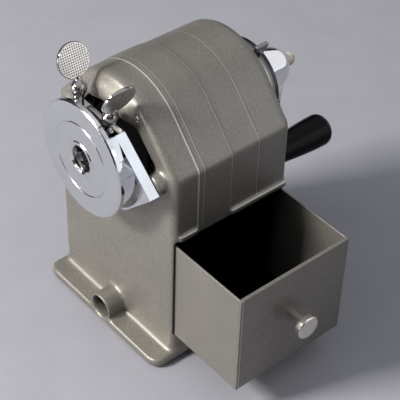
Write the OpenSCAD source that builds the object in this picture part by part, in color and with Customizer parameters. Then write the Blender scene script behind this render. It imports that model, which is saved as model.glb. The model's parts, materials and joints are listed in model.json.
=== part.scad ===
// Desk pencil sharpener with a spring-fed chuck carriage, a planetary cutter and a drawer.
// +X right (the drawer slides out), -Y front (the pencil goes in), +Z up.
// The origin is the centre of the base's underside. Millimetres.

/* [Body] */
// Width of the body across the flanks
body_w = 72; // [70:0.5:74]
// Front face of the body
body_front = -24; // [-25:0.5:-23.5]
// Rear face of the body
body_rear = 32.4; // [32:0.1:33]
// Height of the shaft axis above the table
axis_z = 88; // [87.5:0.1:88.5]
// Radius of the rounded roof about the shaft axis
roof_r = 29.5; // [29:0.1:30]
// Height of the corner where the flank meets the upright side
shoulder_z = 92; // [91:0.5:93]
// Wall thickness of the upper chamber
wall = 3; // [2.8:0.1:3.2]
// Thin wall in front of and behind the drawer
bay_wall = 1.3; // [1.2:0.1:1.6]
// Radius of the rounding round the front face
front_round = 2.4; // [2:0.1:3.6]
// Radius of the rounding round the rear face
rear_round = 3; // [2:0.1:3]
// How far the raised middle band stands proud of the rest
band_step = 0.4; // [0.2:0.1:0.5]

/* [Base] */
// Length of the base from front lip to rear
base_len = 65.4; // [65:0.2:67]
// Height of the top of the front lip
lip_top = 4.5; // [4:0.1:5]
// Corner radius of the front lip
lip_corner_r = 5; // [3:0.5:6]
// Thickness of the rubber pad
pad_t = 1.2; // [1:0.1:1.5]
// Bore radius of the clamp socket
clamp_r = 5; // [4.8:0.1:5.1]
// Outer radius of the clamp socket
clamp_boss_r = 6.2; // [6.1:0.1:6.2]
// Height of the clamp socket's axis
clamp_z = 7.5; // [7.5:0.1:7.8]
// Depth of the clamp socket's bore
clamp_depth = 25; // [20:1:40]

/* [Drawer] */
// Height of the bay floor
bay_floor = 13.3; // [13.3:0.1:13.6]
// Height of the bay opening's top edge
bay_top = 62.3; // [62:0.1:62.6]
// How far the drawer is pulled out at rest
drawer_out = 35.2; // [10:0.1:36]
// Sheet thickness of the tray
sheet_t = 0.6; // [0.5:0.1:1.2]
// Thickness of the drawer's front plate
plate_t = 0.8; // [0.6:0.1:1.5]
// Length of the tray from its back to the front plate
tray_len = 66; // [64:1:67]
// Gap between the tray and the bay
tray_gap = 0.3; // [0.3:0.1:0.4]
// Radius of the knob's head
knob_r = 4.9; // [4:0.1:5.5]
// Distance from the front plate to the knob's face
knob_len = 9; // [8:0.5:10]

/* [Carriage] */
// Radius of the chuck disc
disc_r = 23.5; // [23:0.1:24]
// Front face of the chuck disc
disc_front = -39; // [-39.2:0.1:-39]
// Thickness of the chuck disc
disc_t = 2; // [2:0.1:2.2]
// Radius of the pencil hole
hole_r = 5.3; // [5.2:0.05:5.4]
// Rear face of the carriage frame
frame_rear = -29; // [-29:0.1:-28.9]
// Thickness of the frame's arms
arm_t = 4.3; // [4.2:0.1:4.4]
// Distance of each guide rod from the shaft axis
guide_x = 28; // [27.8:0.1:28.1]
// Radius of a guide rod
rod_r = 2.3; // [2:0.05:2.3]
// Radius of the guide bosses on the body
guide_boss_r = 4.3; // [4.1:0.1:4.4]

/* [Levers] */
// Angle of the left squeeze lever from upright
left_lever_angle = 20; // [19:0.5:22]
// Angle of the right squeeze lever from upright
right_lever_angle = 24; // [22:0.5:25]
// Distance of the left pad's centre from the shaft axis
left_pad_dist = 35.9; // [34:0.1:37]
// Distance of the right pad's centre from the shaft axis
right_pad_dist = 34.6; // [34:0.1:37]
// Radius of a finger pad
pad_r = 6.9; // [6.5:0.1:7.5]
// Thickness of a finger pad
pad_plate_t = 1.4; // [1.3:0.1:2]

/* [Crank] */
// Distance from the shaft axis to the grip's axis
crank_throw = 47; // [46:0.5:48]
// Radius of the crank's hub at the washer
hub_r = 13.5; // [13:0.1:14.5]
// Length of the crank's hub
hub_len = 17; // [16:0.5:18]
// Radius of the drive shaft
shaft_r = 4; // [3.9:0.05:4]
// Radius of the grip at the arm
grip_r_near = 5.2; // [5:0.1:5.6]
// Radius of the grip at its far end
grip_r_far = 7.2; // [6.6:0.1:7.4]
// Rear end of the grip
grip_end = 89.6; // [86:0.2:90]

/* [Cutter] */
// Teeth of the fixed ring gear
ring_teeth = 36; // [36, 40, 44]
// Teeth of the cutter's pinion
pinion_teeth = 12; // [12, 16]
// Tilt of the cutter's axle towards the shaft axis
cutter_tilt = 12; // [11.5:0.5:12]
// Radius of the cutter
cutter_r = 6; // [5.6:0.1:6]

/* [Hidden] */
$fn = 96;
eps = 0.01;
half_w = body_w / 2;
base_front = body_rear - base_len;

// roof and flanks
flank_reach = norm([half_w, shoulder_z - axis_z]);
flank_angle = atan2(shoulder_z - axis_z, half_w) + acos(roof_r / flank_reach);
chamber_floor = 66;
chamber_front = body_front + wall;
cover_front = body_rear - wall;
cover_inset = wall + 1;
band_y = [-13.1, 2.7];
line_y = [-10.7, 15.8];
line_w = 0.5;
line_d = 0.25;
cap_inset = band_step + 0.1;
nose_round = 9;
nose_front = body_front - 3.5;
nose_spread = 20;
front_hole_r = 19.5;
wing = [[10, -12], [27, -5.5], [27, 1.6], [23.4, 4.6], [20.3, 7.4], [17.2, 10.6], [13.4, 14.1], [10, 14.1]];

// base
lip_proud = 0.5;
pad_inset = 1;
pad_chamfer = 3.2;

// drawer
bay_front = body_front + bay_wall;
bay_rear = body_rear - bay_wall;
tray_front = bay_front + tray_gap;
tray_rear = bay_rear - tray_gap;
tray_floor = bay_floor + tray_gap;
tray_top = bay_top - 2;
plate_x = half_w + drawer_out;
tray_back_x = plate_x - plate_t - tray_len;
bay_back_x = -half_w + wall;
ledge_z = [62.6, 65.4];
ledge_out = 0.7;
knob_y = (tray_front + tray_rear) / 2;
knob_z = (tray_floor + tray_top) / 2;
stem_r = 2.2;
knob_head_t = 2.6;
knob_bore_r = 1.2;

// carriage
frame_front = disc_front + disc_t;
arm_front = frame_rear - arm_t;
recess_r = 18;
recess_rear = frame_rear - 2.4;
window_w = 26.8;
frame_ring_r = 21.6;
arm_tip = [33.2, -0.7];
arm_top = [13.6, 16.4];
arm_slant = atan2(arm_top[1] - arm_tip[1], arm_tip[0] - arm_top[0]);
arm_low = [18.5, -15];
thick_end = [20.4, 10.6];
guide_fit = 0.05;
boss_front = frame_rear + 0.4;
boss_rear = -12;
rod_rear = 21;
collar_r = 4.4;
collar_y = [18, 20.5];
spring_r = 3.4;
spring_wire_r = 0.5;
spring_turns = 8;
guide_outer_r = 10.95;
groove_r = 15.1;
raised_r = 7.5;
disc_screw_r = 1;
disc_screw_dist = 19.8;
disc_screw_angles = [-150, -90, -30];

// levers and jaws
lever_bore_r = 11;
lever_ring_r = 17.5;
lever_ring_t = 2.4;
left_ring_y = frame_front + 0.35;
right_ring_y = left_ring_y + lever_ring_t + 0.2;
pad_y = -31.8;
neck_w = 4.6;
neck_bend_r = 21.5;
jaw_grip_r = 3;
jaw_back_r = 8;
jaw_w = 3.6;
jaw_y = [frame_front + 0.35, frame_front + 4];

// rear and crank
cover_step_y = [body_rear + 3.1, body_rear + 8.1];
cover_step_r = [21, 18];
bush_r = 6.5;
shaft_fit = 0.05;
washer_t = 2;
hub_y = cover_step_y[1] + washer_t + 0.3;
arm_y = [hub_y + 7.2, hub_y + 14.2];
eye_r = 5.2;
waist_z = 25;
waist_r = 4.5;
nut_y = hub_y + hub_len - 0.6;
nut_r = 2.8;
nut_flange_r = 4;
nut_bore_r = 1.82;
pin_r = 2.5;
grip_front = arm_y[1] + 0.3;
pin_end = grip_end - 5;
selector_y = [body_rear + 3.6, body_rear + 5.1];
selector_fit = 0.05;
selector_angle = 27;
post_r = 4.5;
posts = [[16, 16], [28.8, -18.4]];
screw_r = 1.25;
screw_head_r = 2.6;

// cutter
pinion_y = -14.5;
pinion_w = 3;
ring_pitch_r = 18;
gear_module = 2 * ring_pitch_r / ring_teeth;
pinion_pitch_r = gear_module * pinion_teeth / 2;
pinion_dist = ring_pitch_r - pinion_pitch_r;
ring_outer_r = 21.8;
ring_gear_rear = -12.5;
axle_r = 1.5;
axle_fit = 0.05;
carrier_front = [-20.6, -18];
carrier_rear = [13, 16.5];
carrier_front_r = 16;
carrier_rear_r = 13;
cutter_start = 2.2;
cutter_len = 23;
cutter_flutes = 10;

// A solid along Y from one flat outline drawn in X and Z
module along_y(from, to) {
    translate([0, to, 0]) rotate([90, 0, 0]) linear_extrude(to - from) children();
}

// A rod along Y at a place given from the shaft axis
module y_rod(x, z, from, to, r) {
    translate([x, to, axis_z + z]) rotate([90, 0, 0]) cylinder(h = to - from, r = r);
}

// Draws its children and their mirror image across the middle plane
module both_sides() {
    children();
    mirror([1, 0, 0]) children();
}

// The body's cross-section, moved in by an inset, from a lowest height upwards
module body_outline(inset, low) {
    r = roof_r - inset;
    hw = half_w - inset;
    corner_z = axis_z + (r - cos(flank_angle) * hw) / sin(flank_angle);
    tangent = [r * cos(flank_angle), axis_z + r * sin(flank_angle)];
    polygon([[-hw, low], [hw, low], [hw, corner_z], tangent, [-tangent[0], tangent[1]], [-hw, corner_z]]);
    translate([0, axis_z]) circle(r);
}

// Rounded end of the body: rings of the outline that shrink towards the end face at Y 0
module end_cap(round) {
    hull() for (a = [0:18:90]) {
        translate([0, (round + 0.5) * (1 - sin(a)) + eps, 0]) rotate([90, 0, 0])
            linear_extrude(eps) body_outline(cap_inset + round * (1 - cos(a)), -5, $fn = 72);
    }
}

// Bull nose over the chuck
module nose() {
    hull() for (side = [-1, 1], y = [nose_front + nose_round, body_front + 14]) {
        rotate_about_axis(side * nose_spread)
            translate([0, y, axis_z + roof_r - band_step - nose_round]) sphere(nose_round, $fn = 40);
    }
}

// Turns its children about the shaft axis
module rotate_about_axis(angle) {
    translate([0, 0, axis_z]) rotate([0, angle, 0]) translate([0, 0, -axis_z]) children();
}

module lip_outline() {
    x = half_w + lip_proud - lip_corner_r;
    translate([-x, base_front]) square([2 * x, base_len]);
    translate([-x - lip_corner_r, base_front + lip_corner_r])
        square([2 * (x + lip_corner_r), base_len - lip_corner_r]);
    both_corners() translate([x, base_front + lip_corner_r]) circle(lip_corner_r);
}

module both_corners() {
    children();
    mirror([1, 0]) children();
}

module housing_outside() {
    intersection() {
        union() {
            translate([0, body_front, 0]) end_cap(front_round);
            translate([0, body_rear, 0]) mirror([0, 1, 0]) end_cap(rear_round);
            along_y(body_front + front_round, body_rear - rear_round) body_outline(band_step, pad_t);
            along_y(band_y[0], band_y[1]) body_outline(0, pad_t);
            nose();
        }
        translate([-body_w, -body_w, pad_t]) cube([2 * body_w, 2 * body_w, 3 * body_w]);
    }
    translate([0, 0, pad_t]) linear_extrude(lip_top - pad_t) lip_outline();
    y_rod(0, clamp_z - axis_z, base_front, body_front + wall, clamp_boss_r);
    for (span = [[body_front + front_round + 1, band_y[0] - 0.5], [band_y[1] + 0.5, bay_rear]]) {
        translate([half_w - 2, span[0], ledge_z[0]])
            cube([2 + ledge_out, span[1] - span[0], ledge_z[1] - ledge_z[0]]);
    }
}

module wing_outline() {
    translate([0, axis_z]) polygon(wing);
}

// Fine lines cut round the roof and sides
module body_lines() {
    for (y = line_y) difference() {
        along_y(y, y + line_w) body_outline(-1, lip_top);
        along_y(y - 1, y + line_w + 1) body_outline((y < band_y[1] ? 0 : band_step) + line_d, 0);
    }
}

// The part of its children above the chamber's floor
module upper_part() {
    intersection() {
        children();
        translate([-body_w, -body_w, chamber_floor]) cube([2 * body_w, 2 * body_w, body_w]);
    }
}

module housing() color("#96928a") {
    difference() {
        union() {
            difference() {
                housing_outside();
                // upper chamber, with a seat for the cover at the rear
                upper_part() along_y(chamber_front, cover_front) body_outline(wall, 0);
                upper_part() along_y(cover_front - 1, body_rear + 1) body_outline(cover_inset, 0);
                // opening for the pencil and the carriage
                y_rod(0, 0, nose_front - 1, chamber_front + 1, front_hole_r);
                both_sides() along_y(nose_front - 1, chamber_front + 1) wing_outline();
                // drawer bay, open on the right
                translate([bay_back_x, bay_front, bay_floor])
                    cube([body_w, bay_rear - bay_front, bay_top - bay_floor]);
                // chute between the chamber and the bay
                translate([-22, -18, bay_top - 1]) cube([44, 44, 10]);
                body_lines();
            }
            // guide bosses for the rods
            both_sides() y_rod(guide_x, 0, boss_front, boss_rear, guide_boss_r);
            // posts for the cover's screws
            both_sides() for (p = posts) y_rod(p[0], p[1], cover_front - 8, cover_front, post_r);
        }
        both_sides() y_rod(guide_x, 0, boss_front - 1, boss_rear + 1, rod_r + guide_fit);
        y_rod(0, clamp_z - axis_z, base_front - 1, base_front + clamp_depth, clamp_r);
        both_sides() for (p = posts) y_rod(p[0], p[1], cover_front - 7, cover_front + 1, screw_r + guide_fit);
    }
}

module base_pad() color("#1c1c1c") {
    x = half_w - pad_inset;
    front = base_front + pad_inset;
    rear = body_rear - pad_inset;
    linear_extrude(pad_t) polygon([[pad_chamfer - x, front], [x - pad_chamfer, front], [x, front + pad_chamfer],
                                   [x, rear], [-x, rear], [-x, front + pad_chamfer]]);
}

module rear_cover() color("#8f8b84") {
    difference() {
        union() {
            upper_part() along_y(cover_front, body_rear) body_outline(cover_inset, 0);
            y_rod(0, 0, cover_front - 3, cover_front, bush_r + 3);
            y_rod(0, 0, body_rear - 1, cover_step_y[0], cover_step_r[0]);
            y_rod(0, 0, cover_front, cover_step_y[1], cover_step_r[1]);
        }
        y_rod(0, 0, cover_front - 4, cover_step_y[1] + 1, bush_r);
        // groove for the selector's clip
        difference() {
            y_rod(0, 0, selector_y[1] + 0.1, selector_y[1] + 1.1, cover_step_r[1] + 1);
            y_rod(0, 0, selector_y[1], selector_y[1] + 1.2, cover_step_r[1] - 1);
        }
        both_sides() for (p = posts) {
            y_rod(p[0], p[1], cover_front - 1, body_rear + 1, screw_r + 0.25);
            y_rod(p[0], p[1], body_rear - 1.4, body_rear + 5, screw_head_r + 0.1);
        }
    }
}

module cover_screws() color("#b0b0b0") {
    both_sides() for (p = posts) {
        y_rod(p[0], p[1], cover_front - 6, body_rear - 1.4, screw_r);
        difference() {
            y_rod(p[0], p[1], body_rear - 1.4, body_rear, screw_head_r);
            translate([p[0] - 3, body_rear - 0.6, axis_z + p[1] - 0.35]) cube([6, 2, 0.7]);
        }
    }
}

// One pinion tooth, or one gap of the ring gear, as a flat wedge that points away from the centre
module tooth(r_root, r_tip, a_root, a_tip) {
    polygon([[r_root * cos(a_root), -r_root * sin(a_root)], [r_tip * cos(a_tip), -r_tip * sin(a_tip)],
             [r_tip * cos(a_tip), r_tip * sin(a_tip)], [r_root * cos(a_root), r_root * sin(a_root)]]);
}

module ring_gear() color("#7a7a7c") {
    translate([0, 0, axis_z]) along_y(chamber_front, ring_gear_rear) difference() {
        circle(ring_outer_r);
        circle(ring_pitch_r - 0.3 * gear_module);
        for (i = [0:ring_teeth - 1]) rotate((i + 0.5) * 360 / ring_teeth)
            tooth(ring_pitch_r - gear_module, ring_pitch_r + 1.6 * gear_module, 130 / ring_teeth, 80 / ring_teeth);
    }
}

module shaft_bush() color("#b08d57") {
    difference() {
        y_rod(0, 0, cover_front - 3, cover_step_y[1], bush_r);
        y_rod(0, 0, cover_front - 4, cover_step_y[1] + 1, shaft_r + shaft_fit);
    }
}

module crank_washer() color("#161616") {
    difference() {
        y_rod(0, 0, cover_step_y[1], cover_step_y[1] + washer_t, cover_step_r[1] - 0.5);
        y_rod(0, 0, cover_step_y[1] - 1, cover_step_y[1] + washer_t + 1, shaft_r + 0.4);
    }
}

module selector_clip() color("#8a8a8a") {
    difference() {
        y_rod(0, 0, selector_y[1] + 0.1, selector_y[1] + 1.1, cover_step_r[1] + 1);
        y_rod(0, 0, selector_y[1], selector_y[1] + 1.2, cover_step_r[1] - 1);
        rotate_about_axis(180) translate([-4, selector_y[1] - 1, axis_z]) cube([8, 4, 30]);
    }
}

// Ring on the cover's boss with a finger tab folded forwards
module selector_lever() color("#8f8f92") {
    difference() {
        union() {
            y_rod(0, 0, selector_y[0], selector_y[1], cover_step_r[1] + 1.7);
            rotate_about_axis(selector_angle) {
                translate([-1.6, selector_y[0], axis_z + 19]) cube([3.2, selector_y[1] - selector_y[0], 5.5]);
                translate([-0.7, 0, axis_z]) rotate([90, 0, 90]) linear_extrude(1.4)
                    polygon([[body_rear + 0.8, 27.2], [selector_y[1], 20], [body_rear + 7, 20.5],
                             [body_rear + 7, 27.6], [body_rear + 6, 28.4], [body_rear + 0.8, 28.2]]);
            }
        }
        y_rod(0, 0, selector_y[0] - 3, selector_y[1] + 5, cover_step_r[1] + selector_fit);
    }
}

module drawer_tray() color("#96928a") {
    difference() {
        translate([tray_back_x, tray_front, tray_floor])
            cube([tray_len, tray_rear - tray_front, tray_top - tray_floor]);
        translate([tray_back_x + sheet_t, tray_front + sheet_t, tray_floor + sheet_t])
            cube([tray_len - 2 * sheet_t, tray_rear - tray_front - 2 * sheet_t, body_w]);
        translate([plate_x - 5, knob_y, knob_z]) rotate([0, 90, 0]) cylinder(h = 9, r = knob_bore_r + 0.1);
    }
}

module drawer_front() color("#8f8b84") {
    difference() {
        translate([plate_x - plate_t, tray_front, tray_floor])
            cube([plate_t, tray_rear - tray_front, tray_top - tray_floor]);
        translate([plate_x - 5, knob_y, knob_z]) rotate([0, 90, 0]) cylinder(h = 9, r = knob_bore_r + 0.1);
    }
}

module drawer_knob() color("#c8c4bc") {
    translate([plate_x, knob_y, knob_z]) rotate([0, 90, 0]) difference() {
        rotate_extrude() polygon([[0, 0], [stem_r, 0], [stem_r, knob_len - knob_head_t - 0.8],
                                  [stem_r + 0.5, knob_len - knob_head_t], [knob_r, knob_len - knob_head_t],
                                  [knob_r, knob_len - 0.4], [knob_r - 0.4, knob_len], [0, knob_len]]);
        translate([0, 0, -1]) cylinder(h = 6, r = knob_bore_r);
    }
}

module knob_screw() color("#b0b0b0") {
    translate([plate_x - plate_t - sheet_t, knob_y, knob_z]) rotate([0, 90, 0]) {
        cylinder(h = plate_t + sheet_t + 4, r = knob_bore_r - 0.02);
        translate([0, 0, -1.4]) cylinder(h = 1.4, r = 2.4);
    }
}

// Outline of the carriage frame: a slanted arm each side of the middle
module frame_outline() {
    translate([0, axis_z]) polygon([arm_top, arm_tip, arm_low, [0, -20], [-arm_low[0], arm_low[1]],
                                    [-arm_tip[0], arm_tip[1]], [-arm_top[0], arm_top[1]]]);
}

// Outline of the frame's thick middle part
module middle_outline() {
    translate([0, axis_z]) {
        difference() {
            circle(frame_ring_r);
            translate([-arm_top[0], 0]) square([2 * arm_top[0], 30]);
            translate([-30, arm_top[1]]) square([60, 30]);
        }
        both_corners() polygon([[arm_top[0] - 1, 5], arm_top, thick_end, [15, 4]]);
    }
}

module carriage_frame() color("#d8dade") {
    difference() {
        union() {
            along_y(arm_front, frame_rear) frame_outline();
            intersection() {
                along_y(frame_front, arm_front) middle_outline();
                along_y(frame_front - 1, arm_front + 1) frame_reach();
            }
        }
        y_rod(0, 0, frame_front - 1, recess_rear, recess_r);
        translate([-window_w / 2, frame_front - 1, axis_z + 9])
            cube([window_w, recess_rear - frame_front + 1, 20]);
        y_rod(0, 0, frame_rear - 5, frame_rear + 1, hole_r + 0.4);
        // slits between the middle part and the arms' slanted tops
        both_sides() translate([arm_top[0], 0, axis_z + arm_top[1]]) rotate([0, arm_slant, 0])
            translate([0, 0, -5]) linear_extrude(6)
                polygon([[2.9, arm_front], [12.5, arm_front - 2.4], [15, arm_front - 2.4], [15, arm_front]]);
        both_sides() y_rod(guide_x, 0, arm_front + 1, frame_rear + 1, rod_r);
        for (a = disc_screw_angles) disc_screw_place(a) {
            y_rod(0, 0, frame_front - 1, frame_rear + 1, disc_screw_r + 0.1);
            y_rod(0, 0, frame_rear - 1.2, frame_rear + 1, disc_screw_r + 1.1);
        }
    }
}

// Keeps the middle part inside the arms' slanted edges
module frame_reach() {
    translate([0, axis_z]) polygon([arm_top, thick_end, [22, 6], [22, -22], [-22, -22], [-22, 6],
                                    [-thick_end[0], thick_end[1]], [-arm_top[0], arm_top[1]]]);
}

module disc_screw_place(angle) {
    translate([disc_screw_dist * cos(angle), 0, disc_screw_dist * sin(angle)]) children();
}

module chuck_disc() color("#e2e4e8") {
    translate([0, disc_front + disc_t, axis_z]) rotate([90, 0, 0]) difference() {
        rotate_extrude() polygon([[hole_r, 0], [disc_r, 0], [disc_r, disc_t - 0.5], [disc_r - 0.5, disc_t],
                                  [groove_r + 0.3, disc_t], [groove_r, disc_t - 0.3], [groove_r - 0.3, disc_t],
                                  [raised_r, disc_t], [raised_r - 0.4, disc_t + 0.4],
                                  [hole_r + 0.8, disc_t + 0.4], [hole_r, disc_t - 0.2]]);
        for (a = disc_screw_angles) translate([disc_screw_dist * cos(a), disc_screw_dist * sin(a), -1])
            cylinder(h = 2.2, r = disc_screw_r);
    }
}

module disc_screws() color("#b0b0b0") {
    for (a = disc_screw_angles) disc_screw_place(a) {
        y_rod(0, 0, frame_front - 1.1, frame_rear - 1.2, disc_screw_r - 0.02);
        y_rod(0, 0, frame_rear - 1.2, frame_rear - 0.1, disc_screw_r + 1);
    }
}

// Collar behind the disc that carries the lever rings and guides the jaws
module jaw_guide() color("#c9ccd0") {
    difference() {
        y_rod(0, 0, frame_front, recess_rear, guide_outer_r);
        y_rod(0, 0, frame_front - 1, recess_rear + 1, hole_r);
        for (a = [0, 120, 240]) rotate_about_axis(a) {
            translate([-jaw_w / 2 - 0.05, frame_front + 0.3, axis_z])
                cube([jaw_w + 0.1, jaw_y[1] - jaw_y[0] + 0.1, guide_outer_r + 1]);
        }
    }
}

// One gripping jaw, at the top; it slides outwards
module jaw(angle) {
    rotate_about_axis(angle) difference() {
        intersection() {
            translate([-jaw_w / 2, jaw_y[0], axis_z + jaw_grip_r])
                cube([jaw_w, jaw_y[1] - jaw_y[0], jaw_back_r - jaw_grip_r]);
            y_rod(0, 0, jaw_y[0] - 1, jaw_y[1] + 1, jaw_back_r);
        }
        for (y = [jaw_y[0] + 0.9:1.2:jaw_y[1]]) translate([-3, y, axis_z + jaw_grip_r - 0.1])
            cube([6, 0.4, 0.5]);
    }
}

module jaw_top() color("#9a9da2") jaw(0);
module jaw_right() color("#9a9da2") jaw(120);
module jaw_left() color("#9a9da2") jaw(240);

// One squeeze lever: ring, neck and finger pad, built upright and then turned
module squeeze_lever(angle, ring_y, pad_dist) {
    rotate_about_axis(angle) {
        difference() {
            y_rod(0, 0, ring_y, ring_y + lever_ring_t, lever_ring_r);
            y_rod(0, 0, ring_y - 1, ring_y + lever_ring_t + 1, lever_bore_r);
        }
        translate([-neck_w / 2, ring_y, axis_z + lever_ring_r - 1.6])
            cube([neck_w, lever_ring_t, neck_bend_r - lever_ring_r + 1.6]);
        hull() {
            translate([-neck_w / 2, ring_y, axis_z + neck_bend_r - 1])
                cube([neck_w, lever_ring_t, 1]);
            translate([-1.3, pad_y - 3.2, axis_z + pad_dist - pad_r]) cube([2.6, 6.4, 1.5]);
        }
        translate([0, pad_y, axis_z + pad_dist]) rotate([0, 90, 0])
            cylinder(h = pad_plate_t, r = pad_r, center = true);
    }
}

module lever_left() color("#d8dade") squeeze_lever(-left_lever_angle, left_ring_y, left_pad_dist);
module lever_right() color("#d8dade") squeeze_lever(right_lever_angle, right_ring_y, right_pad_dist);

module guide_rods() color("#b8bbc0") {
    both_sides() y_rod(guide_x, 0, arm_front + 1, rod_rear, rod_r);
}

module rod_collars() color("#8a8a8a") {
    both_sides() difference() {
        y_rod(guide_x, 0, collar_y[0], collar_y[1], collar_r);
        y_rod(guide_x, 0, collar_y[0] - 1, collar_y[1] + 1, rod_r);
    }
}

// A coil of round wire along +Z, swept ring by ring
module coil(r, wire_r, turns, length) {
    steps = 12 * turns;
    sides = 6;
    points = [for (i = [0:steps], k = [0:sides - 1])
        let (a = 360 * turns * i / steps, b = 360 * k / sides, d = r + wire_r * cos(b))
        [d * cos(a), d * sin(a), wire_r + (length - 2 * wire_r) * i / steps + wire_r * sin(b)]];
    walls = [for (i = [0:steps - 1], k = [0:sides - 1])
        let (n = (k + 1) % sides)
        [i * sides + k, i * sides + n, (i + 1) * sides + n, (i + 1) * sides + k]];
    ends = [[for (k = [0:sides - 1]) sides - 1 - k], [for (k = [0:sides - 1]) steps * sides + k]];
    polyhedron(points, concat(walls, ends), convexity = 20);
}

// Coil springs on the rods, between the bosses and the collars
module feed_springs() color("#9aa0a6") {
    both_sides() translate([guide_x, collar_y[0], axis_z]) rotate([90, 0, 0])
        coil(spring_r, spring_wire_r, spring_turns, collar_y[0] - boss_rear);
}

module drive_shaft() color("#b8bbc0") {
    y_rod(0, 0, carrier_rear[1], nut_y, shaft_r);
    y_rod(0, 0, nut_y - 1, nut_y + 3.5, nut_bore_r - 0.02);
}

// Places its children on the cutter's axle: local Z runs backwards along the tilted axle
module on_axle() {
    translate([0, pinion_y, axis_z + pinion_dist]) rotate([-90 - cutter_tilt, 0, 0]) children();
}

// Turning cage that carries the cutter round the pencil
module cutter_carrier() color("#77797c") {
    difference() {
        union() {
            y_rod(0, 0, carrier_front[0], carrier_front[1], carrier_front_r);
            y_rod(0, 0, carrier_rear[0], carrier_rear[1], carrier_rear_r);
            both_sides() translate([7, carrier_front[1] - 1, axis_z - 12])
                cube([4, carrier_rear[0] - carrier_front[1] + 2, 7]);
        }
        y_rod(0, 0, carrier_front[0] - 1, carrier_front[1] + 1, hole_r);
        on_axle() translate([0, 0, -8]) cylinder(h = 40, r = axle_r);
    }
}

module cutter_axle() color("#a8abb0") {
    intersection() {
        on_axle() translate([0, 0, -8]) cylinder(h = 40, r = axle_r);
        y_rod(0, 0, carrier_front[0], carrier_rear[1], carrier_front_r + 2);
    }
}

module helical_cutter() color("#5e6165") {
    on_axle() translate([0, 0, cutter_start]) difference() {
        linear_extrude(cutter_len, twist = 50, slices = 14, $fn = 12)
            polygon([for (i = [0:2 * cutter_flutes - 1])
                     (i % 2 == 0 ? cutter_r : cutter_r - 1.1)
                     * [cos(i * 180 / cutter_flutes + (i % 2 == 0 ? 0 : 6)),
                        sin(i * 180 / cutter_flutes + (i % 2 == 0 ? 0 : 6))]]);
        translate([0, 0, -1]) cylinder(h = cutter_len + 2, r = axle_r + axle_fit);
    }
}

module cutter_pinion() color("#8a7a50") {
    on_axle() difference() {
        union() {
            translate([0, 0, -pinion_w / 2]) linear_extrude(pinion_w) {
                circle(pinion_pitch_r - gear_module);
                for (i = [0:pinion_teeth - 1]) rotate((i + 0.5) * 360 / pinion_teeth)
                    tooth(pinion_pitch_r - 1.3 * gear_module, pinion_pitch_r + 0.8 * gear_module,
                          108 / pinion_teeth, 41 / pinion_teeth);
            }
            cylinder(h = cutter_start, r = 3.4);
        }
        translate([0, 0, -5]) cylinder(h = 12, r = axle_r + axle_fit);
    }
}

module crank_arm() color("#dfe1e5") {
    difference() {
        union() {
            translate([0, hub_y, axis_z]) rotate([-90, 0, 0]) rotate_extrude()
                polygon([[0, 0], [hub_r, 0], [hub_r, 1], [hub_r - 3.2, hub_len - 9], [hub_r - 5.6, hub_len - 3],
                         [hub_r - 7, hub_len - 1], [hub_r - 8.6, hub_len], [0, hub_len]]);
            // arm, in two tapers that meet at its slimmest place
            hull() {
                y_rod(0, 0, hub_y + 2, hub_y + 5, hub_r - 3.2, $fn = 48);
                y_rod(0, 0, arm_y[1] - 2, arm_y[1] - 1, hub_r - 6.2, $fn = 48);
                y_rod(0, -waist_z, arm_y[0], arm_y[1] - 0.6, waist_r, $fn = 32);
            }
            hull() {
                y_rod(0, -waist_z, arm_y[0], arm_y[1] - 0.6, waist_r, $fn = 32);
                y_rod(0, -crank_throw, arm_y[0], arm_y[1], eye_r, $fn = 32);
            }
        }
        y_rod(0, 0, hub_y - 1, nut_y, shaft_r);
        y_rod(0, 0, nut_y, nut_y + 10, nut_flange_r + 0.2);
        y_rod(0, -crank_throw, arm_y[0] - 1, arm_y[1] + 1, pin_r);
        y_rod(0, -crank_throw, arm_y[0] - 8, arm_y[0] + 1.2, pin_r + 1.5);
    }
}

module cap_nut() color("#cfc9bd") {
    difference() {
        union() {
            y_rod(0, 0, nut_y, nut_y + 1.2, nut_flange_r);
            y_rod(0, 0, nut_y + 1.2, nut_y + 4.4, nut_r);
            translate([0, nut_y + 4.4, axis_z]) sphere(nut_r);
        }
        y_rod(0, 0, nut_y - 1, nut_y + 3.6, nut_bore_r);
    }
}

module crank_pin() color("#b8bbc0") {
    y_rod(0, -crank_throw, arm_y[0], arm_y[0] + 1.2, pin_r + 1.4);
    y_rod(0, -crank_throw, arm_y[0] + 1, pin_end, pin_r);
}

// Turned grip that widens towards its rounded end
module grip() color("#141414") {
    len = grip_end - grip_front;
    translate([0, grip_front, axis_z - crank_throw]) rotate([-90, 0, 0]) difference() {
        rotate_extrude() {
            polygon([[0, 0], [grip_r_near - 0.5, 0], [grip_r_near, 0.5], [grip_r_far, len - 4],
                     [grip_r_far - 0.6, len - 1.8], [grip_r_far - 2, len - 0.6], [grip_r_far - 4, len], [0, len]]);
        }
        translate([0, 0, -1]) cylinder(h = pin_end - grip_front + 1.3, r = pin_r + shaft_fit);
    }
}

housing();
base_pad();
rear_cover();
cover_screws();
ring_gear();
shaft_bush();
crank_washer();
selector_clip();
selector_lever();
drawer_tray();
drawer_front();
drawer_knob();
knob_screw();
carriage_frame();
chuck_disc();
jaw_guide();
disc_screws();
guide_rods();
rod_collars();
feed_springs();
lever_left();
lever_right();
jaw_top();
jaw_left();
jaw_right();
drive_shaft();
cutter_carrier();
cutter_axle();
helical_cutter();
cutter_pinion();
crank_arm();
cap_nut();
crank_pin();
grip();
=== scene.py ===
import json
import math

import bmesh
import bpy
import numpy as np
from mathutils import Matrix, Vector


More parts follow.
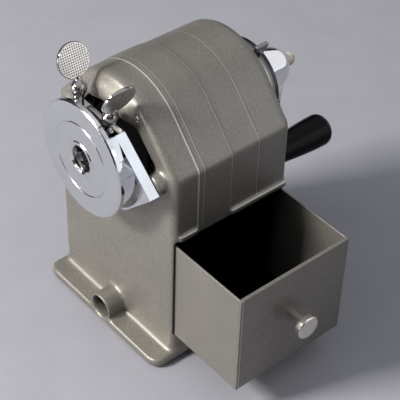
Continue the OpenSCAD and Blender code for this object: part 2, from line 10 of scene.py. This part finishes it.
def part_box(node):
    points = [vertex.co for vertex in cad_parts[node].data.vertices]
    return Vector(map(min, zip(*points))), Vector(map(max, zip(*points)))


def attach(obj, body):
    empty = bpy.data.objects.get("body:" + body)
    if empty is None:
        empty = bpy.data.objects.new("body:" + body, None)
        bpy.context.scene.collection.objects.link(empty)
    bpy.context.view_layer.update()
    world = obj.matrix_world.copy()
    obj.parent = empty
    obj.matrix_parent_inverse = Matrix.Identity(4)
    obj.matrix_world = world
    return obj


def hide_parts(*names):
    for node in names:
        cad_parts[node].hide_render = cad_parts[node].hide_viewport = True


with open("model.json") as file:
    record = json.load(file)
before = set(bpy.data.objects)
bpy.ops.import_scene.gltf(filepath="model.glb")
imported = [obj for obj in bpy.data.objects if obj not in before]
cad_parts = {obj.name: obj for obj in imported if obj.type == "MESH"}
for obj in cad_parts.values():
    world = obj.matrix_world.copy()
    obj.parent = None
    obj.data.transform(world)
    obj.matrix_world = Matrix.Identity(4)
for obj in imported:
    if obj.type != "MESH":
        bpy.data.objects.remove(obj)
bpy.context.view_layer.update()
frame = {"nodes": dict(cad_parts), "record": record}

MM = 0.001
NODES = frame["nodes"]

# Places on the shaft axis and the main faces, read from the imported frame.
disc_low, disc_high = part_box("chuck_disc")
AXIS_Z = (disc_low.z + disc_high.z) / 2
body_low, body_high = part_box("housing")
tray_low, tray_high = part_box("drawer_tray")
grip_low, grip_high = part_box("grip")

PAD_R = 6.9 * MM
PAD_HALF = 0.66 * MM
LEVER_ANGLES = {"lever_left": math.radians(-20), "lever_right": math.radians(24)}
PAD_DIST = {"lever_left": 35.9 * MM, "lever_right": 34.6 * MM}
RING_Y = {"lever_left": disc_high.y + 0.35 * MM, "lever_right": disc_high.y + 2.95 * MM}

# Fine lines round the casting, as places along Y, where highlight and shade lines are painted.
BAND_EDGES = (-13.1 * MM, 2.7 * MM)
FINE_LINES = (-10.45 * MM, 16.05 * MM)
# Top edge of the ledge over the drawer's opening, where a highlight is painted.
LEDGE_Z = 65.2 * MM
# Gap between the tray and the bay, and how wide remeshing leaves an inner corner's chamfer.
TRAY_GAP = 0.3 * MM
CHAMFER = 0.9 * MM
# Where the painted highlight and shade lines begin to show: along Y, up Z, and along X for the ledge's.
LINES_Y = -23 * MM
LINES_Z = 66 * MM
LEDGE_X = 35.3 * MM
# Height of the clamp socket's axis.
CLAMP_Z = 7.5 * MM
# How far painted shade blackens the casting: round the socket's axis and behind the lip's front,
# and round the shaft axis in the chamber and in its front opening.
SOCKET_SHADE_R = 5.1 * MM
SOCKET_SHADE_Y = 27 * MM
CHAMBER_SHADE_R = 24 * MM
THROAT_SHADE_R = 20.3 * MM
# Folded seam down the front edge of the drawer's plate, painted as a highlight beside a shade line.
SEAM_Y = tray_low.y + 1.1 * MM

# How far one pass of relaxing moves a point, and how much of a chamfer the bay keeps.
RELAX_STEP = 0.6
CHAMFER_KEPT = 0.25
# Lengths of the grip's softened rim at the arm and of its round end.
GRIP_START = 0.6 * MM
GRIP_ROUND = 4.0 * MM


# ---------------------------------------------------------------- camera, light and floor

def make_camera():
    """Camera at the calibrated viewing angle, with a small shift and a small roll."""
    eye = Vector((0.3002, -0.2452, 0.3861))
    target = Vector((0.00725, 0.00648, 0.050))
    data = bpy.data.cameras.new("camera")
    data.lens = 116.5
    data.sensor_width = 36
    data.shift_x = 0.030
    data.shift_y = -0.006
    data.clip_start = 0.01
    data.clip_end = 10
    camera = bpy.data.objects.new("camera", data)
    bpy.context.scene.collection.objects.link(camera)
    look = (target - eye).to_track_quat("-Z", "Y").to_matrix()
    roll = Matrix.Rotation(math.radians(1.48), 3, "Z")
    camera.matrix_world = Matrix.Translation(eye) @ (look @ roll).to_4x4()
    bpy.context.scene.camera = camera


def area_light(name, place, target, size, power, colour):
    data = bpy.data.lights.new(name, "AREA")
    data.shape = "RECTANGLE"
    data.size, data.size_y = size
    data.energy = power
    data.color = colour
    lamp = bpy.data.objects.new(name, data)
    bpy.context.scene.collection.objects.link(lamp)
    lamp.location = place
    lamp.rotation_euler = (Vector(target) - Vector(place)).to_track_quat("-Z", "Y").to_euler()
    return lamp


def make_lights():
    world = bpy.data.worlds.new("studio")
    bpy.context.scene.world = world
    world.use_nodes = True
    nodes, links = world.node_tree.nodes, world.node_tree.links
    nodes.clear()
    coord = nodes.new("ShaderNodeTexCoord")
    split = nodes.new("ShaderNodeSeparateXYZ")
    ramp = nodes.new("ShaderNodeValToRGB")
    back = nodes.new("ShaderNodeBackground")
    out = nodes.new("ShaderNodeOutputWorld")
    ramp.color_ramp.elements[0].position = 0.37
    ramp.color_ramp.elements[0].color = (0.03, 0.03, 0.035, 1)
    ramp.color_ramp.elements[1].position = 0.90
    ramp.color_ramp.elements[1].color = (0.75, 0.76, 0.80, 1)
    back.inputs["Strength"].default_value = 1.0
    links.new(coord.outputs["Generated"], split.inputs[0])
    links.new(split.outputs["Z"], ramp.inputs[0])
    links.new(ramp.outputs[0], back.inputs["Color"])
    links.new(back.outputs[0], out.inputs["Surface"])
    middle = (0.0, 0.0, 0.06)
    area_light("key", (-0.325, -0.925, 0.80), middle, (0.27, 0.27), 23, (1.0, 0.975, 0.94))
    area_light("front_fill", (-0.45, -1.10, 0.22), middle, (0.8, 0.3), 6.4, (1.0, 0.97, 0.93))
    # cards that only the shiny parts show
    cards = (
        area_light("right_card", (0.80, 0.45, 0.30), middle, (1.0, 0.6), 2.1, (0.98, 0.99, 1.0)),
        area_light("rear_card", (0.0, 0.95, 0.24), middle, (1.0, 0.48), 1.35, (0.98, 0.99, 1.0)),
        area_light("high_card", (0.75, 0.55, 0.74), middle, (0.8, 0.5), 0.8, (0.88, 0.95, 1.0)),
    )
    for card in cards:
        card.visible_diffuse = False


def make_floor():
    mesh = bpy.data.meshes.new("floor")
    half = 3.0
    corners = [(-half, -half, 0), (half, -half, 0), (half, half, 0), (-half, half, 0)]
    mesh.from_pydata(corners, [], [(0, 1, 2, 3)])
    floor = bpy.data.objects.new("floor", mesh)
    bpy.context.scene.collection.objects.link(floor)
    g = Graph("floor_paper")
    tint = g.mix_noise(40, (0.285, 0.285, 0.318), (0.300, 0.300, 0.334))
    g.finish(tint, rough=0.75, bump=(g.noise(900), 0.05, 0.0001))
    mesh.materials.append(g.material)


# ---------------------------------------------------------------- materials

class Graph:
    """A small helper that builds one node material."""

    def __init__(self, name):
        self.material = bpy.data.materials.new(name)
        self.material.use_nodes = True
        self.nodes = self.material.node_tree.nodes
        self.links = self.material.node_tree.links
        self.nodes.clear()
        self.coord = self.nodes.new("ShaderNodeTexCoord").outputs["Object"]
        self.shader = self.nodes.new("ShaderNodeBsdfPrincipled")
        out = self.nodes.new("ShaderNodeOutputMaterial")
        self.links.new(self.shader.outputs[0], out.inputs["Surface"])

    def put(self, socket, value):
        if isinstance(value, bpy.types.NodeSocket):
            self.links.new(value, socket)
        elif isinstance(value, tuple) and len(value) == 3 and socket.type == "RGBA":
            socket.default_value = (*value, 1)
        else:
            socket.default_value = value

    def maths(self, kind, a, b=0.0, c=0.0):
        node = self.nodes.new("ShaderNodeMath")
        node.operation = kind
        for socket, value in zip(node.inputs, (a, b, c)):
            self.put(socket, value)
        return node.outputs[0]

    def noise(self, scale, detail=3.0, stretch=(1, 1, 1), rough=0.55):
        mapping = self.nodes.new("ShaderNodeMapping")
        mapping.inputs["Scale"].default_value = stretch
        self.links.new(self.coord, mapping.inputs["Vector"])
        node = self.nodes.new("ShaderNodeTexNoise")
        node.inputs["Scale"].default_value = scale
        node.inputs["Detail"].default_value = detail
        node.inputs["Roughness"].default_value = rough
        self.links.new(mapping.outputs[0], node.inputs["Vector"])
        return node.outputs[0]

    def span(self, value, low, high, to_low, to_high, smooth=False):
        node = self.nodes.new("ShaderNodeMapRange")
        node.interpolation_type = "SMOOTHSTEP" if smooth else "LINEAR"
        for socket, v in zip(node.inputs, (value, low, high, to_low, to_high)):
            self.put(socket, v)
        return node.outputs[0]

    def mix(self, factor, a, b):
        node = self.nodes.new("ShaderNodeMix")
        node.data_type = "RGBA"
        self.put(node.inputs["Factor"], factor)
        self.put(node.inputs[6], a)
        self.put(node.inputs[7], b)
        return node.outputs[2]

    def mix_noise(self, scale, a, b):
        return self.mix(self.span(self.noise(scale), 0.35, 0.65, 0.0, 1.0), a, b)

    def axis(self, name):
        node = self.nodes.new("ShaderNodeSeparateXYZ")
        self.links.new(self.coord, node.inputs[0])
        return node.outputs[name]

    def product(self, *values):
        total = values[0]
        for value in values[1:]:
            total = self.maths("MULTIPLY", total, value)
        return total

    def within(self, value, low, high, soft):
        """1 where value lies between low and high, 0 outside."""
        up = self.span(value, low - soft, low + soft, 0.0, 1.0)
        down = self.span(value, high - soft, high + soft, 1.0, 0.0)
        return self.product(up, down)

    def line(self, value, at, half_width):
        """1 on a thin line where value is near at, 0 away from it."""
        gap = self.maths("ABSOLUTE", self.maths("SUBTRACT", value, at))
        return self.span(gap, half_width * 0.3, half_width, 1.0, 0.0, smooth=True)

    def finish(self, colour, rough, metal=0.0, bump=None, rounding=None, extra=None):
        self.put(self.shader.inputs["Base Color"], colour)
        self.put(self.shader.inputs["Roughness"], rough)
        self.put(self.shader.inputs["Metallic"], metal)
        for name, value in (extra or {}).items():
            self.put(self.shader.inputs[name], value)
        normal = None
        if rounding:
            edge = self.nodes.new("ShaderNodeBevel")
            edge.samples = 6
            edge.inputs["Radius"].default_value = rounding
            normal = edge.outputs[0]
        if bump:
            height, strength, distance = bump
            node = self.nodes.new("ShaderNodeBump")
            node.inputs["Strength"].default_value = strength
            node.inputs["Distance"].default_value = distance
            self.put(node.inputs["Height"], height)
            if normal:
                self.links.new(normal, node.inputs["Normal"])
            normal = node.outputs[0]
        if normal:
            self.links.new(normal, self.shader.inputs["Normal"])
        return self.material


def painted_shade(g):
    """1 where shade is painted near black onto a surface: in the tray, the clamp socket and behind the
    carriage.
    """
    x, y, z = (g.axis(name) for name in "XYZ")
    skin = 0.05 * MM
    inside = g.product(
        g.within(x, tray_low.x + 0.5 * MM, tray_high.x - 0.55 * MM, skin),
        g.within(y, tray_low.y + 0.55 * MM, tray_high.y - 0.55 * MM, skin),
        g.within(z, tray_low.z + 0.5 * MM, tray_high.z - 0.1 * MM, skin),
    )
    # The tray's rear wall, where the key light falls, is left out of the painted shade.
    rear_wall = g.product(g.span(y, tray_high.y - 0.8 * MM, tray_high.y - 0.7 * MM, 0.0, 1.0),
                          g.span(x, 30 * MM, 50 * MM, 0.0, 1.0))
    tray = g.product(inside, g.maths("SUBTRACT", 1.0, rear_wall))
    up = g.maths("SUBTRACT", z, AXIS_Z)
    radius = g.maths("SQRT", g.maths("ADD", g.product(x, x), g.product(up, up)))
    chamber = g.product(g.span(radius, CHAMBER_SHADE_R, CHAMBER_SHADE_R + 1 * MM, 1.0, 0.0),
                        g.within(y, body_low.y + 10.3 * MM, body_high.y - 5 * MM, 0.4 * MM))
    throat = g.product(g.span(radius, THROAT_SHADE_R, THROAT_SHADE_R + 0.7 * MM, 1.0, 0.0),
                       g.within(y, body_low.y + 6.5 * MM, body_high.y - 5 * MM, 0.4 * MM))
    above = g.maths("SUBTRACT", z, CLAMP_Z)
    from_bore = g.maths("SQRT", g.maths("ADD", g.product(x, x), g.product(above, above)))
    socket_end = body_low.y + SOCKET_SHADE_Y
    socket = g.product(g.span(from_bore, SOCKET_SHADE_R, SOCKET_SHADE_R + 0.2 * MM, 1.0, 0.0),
                       g.span(y, body_low.y + 1 * MM, body_low.y + 6 * MM, 0.0, 1.0),
                       g.span(y, socket_end, socket_end + 1 * MM, 1.0, 0.0))
    return g.maths("MAXIMUM", g.maths("MAXIMUM", tray, socket), g.maths("MAXIMUM", chamber, throat))


def cast_paint():
    """Warm grey metallic paint with a sand-like grain, and painted highlight and shade lines round the
    casting.
    """
    g = Graph("cast_paint")
    grain = g.noise(1100, 4)
    fleck = g.noise(2100, 2)
    colour = g.mix_noise(35, (0.205, 0.194, 0.172), (0.228, 0.216, 0.192))
    colour = g.mix(g.span(fleck, 0.56, 0.74, 0.0, 0.45), colour, (0.46, 0.44, 0.395))
    colour = g.mix(g.span(fleck, 0.46, 0.30, 0.0, 0.40), colour, (0.085, 0.080, 0.070))
    along, height_z = g.axis("Y"), g.axis("Z")
    upper = g.span(height_z, LINES_Z, LINES_Z + 0.5 * MM, 0.0, 1.0)
    front = g.span(along, LINES_Y, LINES_Y + 1 * MM, 0.0, 1.0)
    shown = g.product(upper, front)
    # Painted highlights along the band edges and fine lines, and painted shade in the grooves beside them.
    bright = g.maths("MULTIPLY", g.line(along, BAND_EDGES[0], 0.42 * MM), 0.75)
    groove = g.line(along, BAND_EDGES[0] + 0.6 * MM, 0.5 * MM)
    for place in BAND_EDGES[1:] + FINE_LINES:
        bright = g.maths("MAXIMUM", bright, g.maths("MULTIPLY", g.line(along, place, 0.30 * MM), 0.35))
        groove = g.maths("MAXIMUM", groove, g.line(along, place + 0.45 * MM, 0.40 * MM))
    bright, groove = g.product(bright, shown), g.product(groove, shown)
    # Painted highlight along the ledge's top edge, where it catches the light.
    ledge = g.product(g.line(height_z, LEDGE_Z, 0.45 * MM),
                      g.span(g.axis("X"), LEDGE_X, LEDGE_X + 0.5 * MM, 0.0, 1.0),
                      g.maths("SUBTRACT", 1.0, g.within(along, *BAND_EDGES, 0.3 * MM)))
    bright = g.maths("MAXIMUM", bright, g.maths("MULTIPLY", ledge, 0.85))
    # Painted highlight and painted shade along the drawer plate's folded seam.
    plate = g.span(g.axis("X"), tray_high.x + 0.3 * MM, tray_high.x + 0.4 * MM, 0.0, 1.0)
    bright = g.maths("MAXIMUM", bright, g.product(plate, g.line(along, SEAM_Y, 0.5 * MM), 0.35))
    groove = g.maths("MAXIMUM", groove, g.product(plate, g.line(along, SEAM_Y + 0.5 * MM, 0.4 * MM)))
    # The grooves get painted shade (they are also bumped in below); the painted highlights go on top.
    colour = g.mix(g.maths("MULTIPLY", groove, 0.30), colour, (0.10, 0.095, 0.085))
    colour = g.mix(bright, colour, (0.70, 0.67, 0.62))
    # Painted shade: the tray's inside, the chamber, its front opening and the clamp socket are painted near
    # black and made dull.
    shade_mask = painted_shade(g)
    colour = g.mix(shade_mask, colour, (0.0015, 0.0015, 0.0015))
    height = g.maths("ADD", grain, g.maths("MULTIPLY", fleck, 0.6))
    height = g.maths("SUBTRACT", height, g.maths("MULTIPLY", groove, 3.0))
    rough = g.maths("MAXIMUM", g.span(grain, 0.3, 0.7, 0.38, 0.50), g.maths("MULTIPLY", shade_mask, 0.95))
    metal = g.maths("MULTIPLY", g.maths("SUBTRACT", 1.0, shade_mask), 0.55)
    return g.finish(colour, rough, metal=metal, bump=(height, 0.24, 0.00012), rounding=0.45 * MM,
                    extra={"Specular IOR Level": g.span(shade_mask, 0.0, 1.0, 0.5, 0.0)})


def bright_metal(name, colour, rough, brush=(1, 1, 1), wear=0.05, rounding=0.15 * MM):
    """Plated or ground metal: faint smudges change the roughness, fine marks follow the brushing."""
    g = Graph(name)
    smudge = g.noise(90, 4)
    marks = g.noise(2600, 3, stretch=brush)
    tone = g.mix(g.span(smudge, 0.3, 0.7, 0.0, 1.0), colour, tuple(c * 0.93 for c in colour))
    mixed = g.maths("ADD", g.span(smudge, 0.35, 0.7, rough, rough + wear),
                    g.span(marks, 0.3, 0.8, 0.0, wear * 0.4))
    return g.finish(tone, mixed, metal=1.0, bump=(marks, 0.02, 0.00002), rounding=rounding)


def moulded(name, colour, rough, gloss=0.5):
    """Rubber, plastic or lacquer with a faint orange-peel surface and soft colour changes."""
    g = Graph(name)
    tone = g.mix_noise(120, colour, tuple(c * 1.25 + 0.002 for c in colour))
    skin = g.noise(420, 2)
    mixed = g.span(g.noise(160, 4), 0.3, 0.7, rough * 0.85, rough * 1.15)
    return g.finish(tone, mixed, bump=(skin, 0.04, 0.00005), rounding=0.25 * MM,
                    extra={"Specular IOR Level": gloss})


def knurled(name, colour):
    """Satin metal with a grid of small pits painted dark as shade where the mesh's map says a pad's face is;
    the rest of the lever is painted darker as a dark reflection.
    """
    g = Graph(name)
    flat = g.nodes.new("ShaderNodeTexCoord").outputs["UV"]
    split = g.nodes.new("ShaderNodeSeparateXYZ")
    g.links.new(flat, split.inputs[0])
    u, v = split.outputs["X"], split.outputs["Y"]
    turns = math.pi * PAD_R / (0.92 * MM)
    wave = g.product(*(g.maths("SINE", g.maths("MULTIPLY", value, turns)) for value in (u, v)))
    from_middle = g.maths("SQRT", g.maths("ADD", g.product(u, u), g.product(v, v)))
    pit = g.product(g.span(g.maths("ABSOLUTE", wave), 0.50, 0.72, 0.0, 1.0, smooth=True),
                    g.span(from_middle, 0.88, 0.90, 1.0, 0.0))
    smudge = g.noise(300, 3)
    face = g.span(from_middle, 0.93, 0.95, 1.0, 0.0)
    # The lever outside the pad faces is painted darker, standing in for the dark surroundings it reflects.
    tone = g.mix(face, tuple(c * 0.42 for c in colour), colour)
    # The pits are painted near black as shade.
    tone = g.mix(g.maths("MULTIPLY", pit, 0.92), tone, (0.05, 0.042, 0.036))
    satin = g.product(face, g.span(smudge, 0.3, 0.7, 0.20, 0.28))
    rough = g.maths("MAXIMUM", g.maths("ADD", satin, 0.07), g.maths("MULTIPLY", pit, 0.6))
    return g.finish(tone, rough, metal=0.95, bump=(g.maths("MULTIPLY", pit, -1.0), 0.5, 0.00015))


def make_materials():
    steel = (0.56, 0.56, 0.575)
    chrome = (0.80, 0.805, 0.83)
    return {
        "cast_paint": cast_paint(),
        "black_rubber": moulded("black_rubber", (0.018, 0.018, 0.019), 0.75),
        "screw_steel": bright_metal("screw_steel", steel, 0.28),
        # The ring gear's near-black colour is painted shade for the dark chamber it sits in.
        "gear_steel": bright_metal("gear_steel", (0.015, 0.015, 0.016), 0.60),
        "bush_brass": bright_metal("bush_brass", (0.62, 0.47, 0.22), 0.30),
        "washer_black": moulded("washer_black", (0.012, 0.012, 0.013), 0.30),
        "clip_steel": bright_metal("clip_steel", (0.38, 0.38, 0.39), 0.35),
        "selector_steel": bright_metal("selector_steel", (0.30, 0.30, 0.305), 0.34, brush=(1, 0.1, 1)),
        "knob_metal": bright_metal("knob_metal", (0.66, 0.63, 0.58), 0.26),
        "frame_chrome": bright_metal("frame_chrome", chrome, 0.05, rounding=0.25 * MM),
        "disc_chrome": bright_metal("disc_chrome", (0.755, 0.77, 0.78), 0.11, rounding=0.08 * MM),
        "guide_steel": bright_metal("guide_steel", steel, 0.22),
        "rod_steel": bright_metal("rod_steel", steel, 0.18, brush=(1, 0.05, 1)),
        "spring_steel": bright_metal("spring_steel", (0.44, 0.45, 0.47), 0.32),
        "lever_chrome": knurled("lever_chrome", (0.86, 0.82, 0.79)),
        "jaw_steel": bright_metal("jaw_steel", (0.42, 0.42, 0.44), 0.30),
        "carrier_iron": bright_metal("carrier_iron", (0.012, 0.012, 0.013), 0.60),
        "cutter_steel": bright_metal("cutter_steel", (0.16, 0.165, 0.17), 0.35),
        "pinion_brass": bright_metal("pinion_brass", (0.26, 0.20, 0.10), 0.40),
        "crank_chrome": bright_metal("crank_chrome", (0.82, 0.825, 0.85), 0.07),
        "nut_cream": moulded("nut_cream", (0.62, 0.56, 0.46), 0.35),
        "grip_black": moulded("grip_black", (0.002, 0.002, 0.003), 0.20, gloss=0.10),
    }


# ---------------------------------------------------------------- meshes

def piece_from_mesh(name, mesh, body, material):
    thing = bpy.data.objects.new(name, mesh)
    bpy.context.scene.collection.objects.link(thing)
    mesh.materials.clear()
    mesh.materials.append(material)
    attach(thing, body)
    return thing


def apply_modifiers(thing):
    graph = bpy.context.evaluated_depsgraph_get()
    mesh = bpy.data.meshes.new_from_object(thing.evaluated_get(graph))
    old = thing.data
    thing.modifiers.clear()
    thing.data = mesh
    bpy.data.meshes.remove(old)


def remeshed(source_mesh, name, voxel):
    """A copy of a mesh as one even skin of small quads."""
    thing = bpy.data.objects.new(name, source_mesh.copy())
    bpy.context.scene.collection.objects.link(thing)
    remesh = thing.modifiers.new("skin", "REMESH")
    remesh.mode = "VOXEL"
    remesh.voxel_size = voxel
    remesh.use_smooth_shade = True
    apply_modifiers(thing)
    mesh = thing.data
    bpy.data.objects.remove(thing)
    return mesh


def relax(mesh, passes, weight):
    """Moves every point towards its neighbours' middle; weight(points) says how much, 0 to 1."""
    count = len(mesh.vertices)
    points = np.empty(count * 3)
    mesh.vertices.foreach_get("co", points)
    points = points.reshape(-1, 3)
    ends = np.empty(len(mesh.edges) * 2, dtype=int)
    mesh.edges.foreach_get("vertices", ends)
    ends = ends.reshape(-1, 2)
    degree = np.bincount(ends.ravel(), minlength=count)[:, None]
    share = weight(points)[:, None]
    for _ in range(passes):
        total = np.zeros_like(points)
        for axis in range(3):
            total[:, axis] += np.bincount(ends[:, 0], points[ends[:, 1], axis], count)
            total[:, axis] += np.bincount(ends[:, 1], points[ends[:, 0], axis], count)
        points = points + share * (total / np.maximum(degree, 1) - points) * RELAX_STEP
    mesh.vertices.foreach_set("co", points.ravel())
    mesh.update()


def lathe(name, profile, steps=64):
    """Mesh turned about +Y from (radius, y) points."""
    bm = bmesh.new()
    rings = []
    for radius, y in profile:
        ring = []
        for k in range(steps):
            a = 2 * math.pi * k / steps
            ring.append(bm.verts.new((radius * math.cos(a), y, radius * math.sin(a))))
        rings.append(ring)
    for low, high in zip(rings, rings[1:]):
        for k in range(steps):
            n = (k + 1) % steps
            bm.faces.new((low[k], low[n], high[n], high[k]))
    bm.faces.new(rings[0][::-1])
    bm.faces.new(rings[-1])
    bmesh.ops.recalc_face_normals(bm, faces=bm.faces)
    mesh = bpy.data.meshes.new(name)
    bm.to_mesh(mesh)
    bm.free()
    for face in mesh.polygons:
        face.use_smooth = len(face.vertices) == 4
    return mesh


# ---------------------------------------------------------------- pieces

def sharpen_bay(mesh):
    """Squeeze the chamfers along the bay's floor, so that the shut tray stays clear of them."""
    points = np.empty(len(mesh.vertices) * 3)
    mesh.vertices.foreach_get("co", points)
    points = points.reshape(-1, 3)
    x, y, z = points.T
    floor_z = tray_low.z - TRAY_GAP
    for wall_y in (tray_low.y - TRAY_GAP, tray_high.y + TRAY_GAP):
        from_wall, from_floor = y - wall_y, z - floor_z
        near = (np.abs(from_wall) < CHAMFER) & (np.abs(from_floor) < CHAMFER)
        near &= (x > body_low.x + 3 * MM) & (x < body_high.x - 0.5 * MM)
        y[near] = wall_y + CHAMFER_KEPT * from_wall[near]
        z[near] = floor_z + CHAMFER_KEPT * from_floor[near]
    mesh.vertices.foreach_set("co", points.ravel())
    mesh.update()


def make_casting(materials):
    """The cast body with the soft edges and fillets of a casting."""
    mesh = remeshed(NODES["housing"].data, "cast_body", 0.75 * MM)
    rod_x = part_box("guide_rods")[1].x - 2.3 * MM
    lip_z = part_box("base_pad")[1].z

    def weight(points):
        x, y, z = points.T
        from_axis = np.hypot(x, z - AXIS_Z)
        inside = (y > body_low.y + 12 * MM) & (y < body_high.y - 0.5 * MM)
        cover_seat = (y > body_high.y - 6 * MM) & (from_axis < 31 * MM) & (z > 64 * MM)
        near_rod = np.hypot(np.abs(x) - rod_x, z - AXIS_Z) < 3.3 * MM
        base = z < lip_z + 0.6 * MM
        ledge = (x > body_high.x - 1.9 * MM) & (np.abs(z - LEDGE_Z + 1 * MM) < 2.2 * MM)
        bay = (x < body_high.x - 1.5 * MM) & (x > body_low.x + 1.5 * MM)
        bay &= (y > tray_low.y - 1.3 * MM) & (y < tray_high.y + 1.3 * MM)
        bay &= (z > tray_low.z - 1.3 * MM) & (z < tray_high.z + 3.5 * MM)
        share = np.ones(len(points))
        share[near_rod | base | ledge | bay | (cover_seat & inside)] = 0.0
        return share

    relax(mesh, 7, weight)
    sharpen_bay(mesh)
    piece = piece_from_mesh("cast_body", mesh, "casing", materials["cast_paint"])
    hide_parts("housing")


def make_grip(materials):
    """Turned grip: slim at the arm, fullest near its round end."""
    length = grip_high.y - grip_low.y
    full = (grip_high.x - grip_low.x) / 2
    slim = full * 0.72
    taper = length - GRIP_START - GRIP_ROUND
    profile = [(2.6 * MM, 0), (slim - 0.6 * MM, 0), (slim - 0.15 * MM, 0.15 * MM), (slim, GRIP_START)]
    for k in range(1, 13):
        t = k / 12
        swell = (full - slim) * math.sin(t * math.pi / 2) ** 1.25
        profile.append((slim + swell, GRIP_START + t * taper))
    for k in range(1, 9):
        a = k / 8 * math.pi / 2
        profile.append((full - GRIP_ROUND * (1 - math.cos(a)),
                        length - GRIP_ROUND + GRIP_ROUND * math.sin(a)))
    mesh = lathe("turned_grip", profile)
    mesh.transform(Matrix.Translation((0, grip_low.y, (grip_low.z + grip_high.z) / 2)))
    piece = piece_from_mesh("turned_grip", mesh, "handle", materials["grip_black"])
    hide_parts("grip")


def make_crank(materials):
    """Crank hub and arm as one smooth forging."""
    mesh = remeshed(NODES["crank_arm"].data, "crank_forging", 0.6 * MM)

    def weight(points):
        x, y, z = points.T
        bore = np.hypot(x, z - AXIS_Z) < 6.0 * MM
        pin = np.hypot(x, z - (grip_low.z + grip_high.z) / 2) < 3.6 * MM
        share = np.ones(len(points))
        share[bore | pin] = 0.0
        return share

    relax(mesh, 14, weight)
    piece = piece_from_mesh("crank_forging", mesh, "crank", materials["crank_chrome"])
    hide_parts("crank_arm")


def add_ball(bm, centre, radii):
    """Ellipsoid, as part of a shape that is skinned afterwards."""
    made = bmesh.ops.create_uvsphere(bm, u_segments=32, v_segments=20, radius=1)
    bmesh.ops.scale(bm, vec=radii, verts=made["verts"])
    bmesh.ops.translate(bm, vec=centre, verts=made["verts"])


def add_rod(bm, start, end, radius_start, radius_end):
    """Round bar between two points."""
    start, end = Vector(start), Vector(end)
    way = end - start
    place = Matrix.Translation((start + end) / 2) @ way.to_track_quat("Z", "Y").to_matrix().to_4x4()
    bmesh.ops.create_cone(bm, cap_ends=True, segments=40, radius1=radius_start, radius2=radius_end,
                          depth=way.length, matrix=place)


def add_band(bm, radius_in, radius_out, y_low, y_high, start, end, steps=36):
    """Curved strip about the shaft axis (taken as the origin), between two angles from upright."""
    corners = ((radius_in, y_low), (radius_out, y_low), (radius_out, y_high), (radius_in, y_high))
    rings = []
    for k in range(steps + 1):
        a = start + (end - start) * k / steps
        rings.append([bm.verts.new((r * math.sin(a), y, r * math.cos(a))) for r, y in corners])
    for low, high in zip(rings, rings[1:]):
        for k in range(4):
            n = (k + 1) % 4
            bm.faces.new((low[k], high[k], high[n], low[n]))
    bm.faces.new(rings[0])
    bm.faces.new(rings[-1][::-1])


def pad_disc(name):
    """Round finger pad across X with softened rims, mapped so that the pits lie on its faces."""
    thick, r = 2 * PAD_HALF, PAD_R - 0.08 * MM
    mesh = lathe(name, [(r - 0.30 * MM, 0), (r - 0.08 * MM, 0.08 * MM), (r, 0.30 * MM), (r, thick - 0.30 * MM),
                        (r - 0.08 * MM, thick - 0.08 * MM), (r - 0.30 * MM, thick)], 96)
    mesh.transform(Matrix.Rotation(math.radians(-90), 4, "Z") @ Matrix.Translation((0, -PAD_HALF, 0)))
    chart = mesh.uv_layers.new(name="pad")
    for face in mesh.polygons:
        for corner in face.loop_indices:
            point = mesh.vertices[mesh.loops[corner].vertex_index].co
            on_face = len(face.vertices) > 4
            chart.data[corner].uv = (point.y / PAD_R, point.z / PAD_R) if on_face else (9, 9)
    return mesh


def make_lever(name, node, body, strip, materials):
    """Squeeze lever: hidden ring, curved strip, ball-shaped neck and a round finger pad."""
    ring_low = RING_Y[node]
    pad_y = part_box(node)[1].y - PAD_R
    dist = PAD_DIST[node]
    root = dist - PAD_R
    bm = bmesh.new()
    add_band(bm, 11.05 * MM, 17.4 * MM, ring_low, ring_low + 2.3 * MM, 0, 2 * math.pi, 96)
    add_band(bm, 17.0 * MM, 20.3 * MM, ring_low, ring_low + 2.3 * MM, *(math.radians(a) for a in strip))
    neck = bmesh.new()
    add_rod(neck, (0, ring_low + 1.2 * MM, 17 * MM), (0, pad_y - 0.8 * MM, root - 4 * MM), 2.6 * MM, 1.8 * MM)
    add_ball(neck, (0, pad_y - 0.6 * MM, root - 3.4 * MM), (3.0 * MM, 3.2 * MM, 3.2 * MM))
    add_rod(neck, (0, pad_y, root - 4 * MM), (0, pad_y, root + 1.4 * MM), 2.2 * MM, 1.1 * MM)
    turn = Matrix.Rotation(LEVER_ANGLES[node], 4, "Y")
    neck.transform(turn)
    neck_mesh = bpy.data.meshes.new(name + "_neck")
    neck.to_mesh(neck_mesh)
    neck.free()
    bm.from_mesh(neck_mesh)
    bmesh.ops.recalc_face_normals(bm, faces=bm.faces)
    rough = bpy.data.meshes.new(name)
    bm.to_mesh(rough)
    bm.free()
    mesh = remeshed(rough, name, 0.36 * MM)
    relax(mesh, 5, lambda points: np.ones(len(points)))
    chart = mesh.uv_layers.new(name="pad")
    chart.data.foreach_set("uv", [9.0] * (2 * len(mesh.loops)))
    pad = pad_disc(name + "_pad")
    pad.transform(turn @ Matrix.Translation((0, pad_y, dist)))
    bm = bmesh.new()
    bm.from_mesh(mesh)
    bm.from_mesh(pad)
    bmesh.ops.translate(bm, vec=(0, 0, AXIS_Z), verts=bm.verts)
    bm.to_mesh(mesh)
    bm.free()
    piece = piece_from_mesh(name, mesh, body, materials["lever_chrome"])
    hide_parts(node)


def dress_nodes(materials):
    """Every CAD node that stays takes the material of its slot."""
    for entry in frame["record"]["subparts"]:
        thing = NODES[entry["node"]]
        material = materials[entry["material_slot"]]
        if not thing.material_slots:
            thing.data.materials.append(material)
        for place in thing.material_slots:
            place.material = material


make_camera()
make_lights()
make_floor()
all_materials = make_materials()
dress_nodes(all_materials)
make_casting(all_materials)
make_grip(all_materials)
make_lever("left_lever_forging", "lever_left", "left_squeeze_lever", (-34, 8), all_materials)
make_lever("right_lever_forging", "lever_right", "right_squeeze_lever", (-8, 36), all_materials)
make_crank(all_materials)
bpy.context.scene.view_settings.view_transform = "Standard"
bpy.context.scene.view_settings.look = "None"
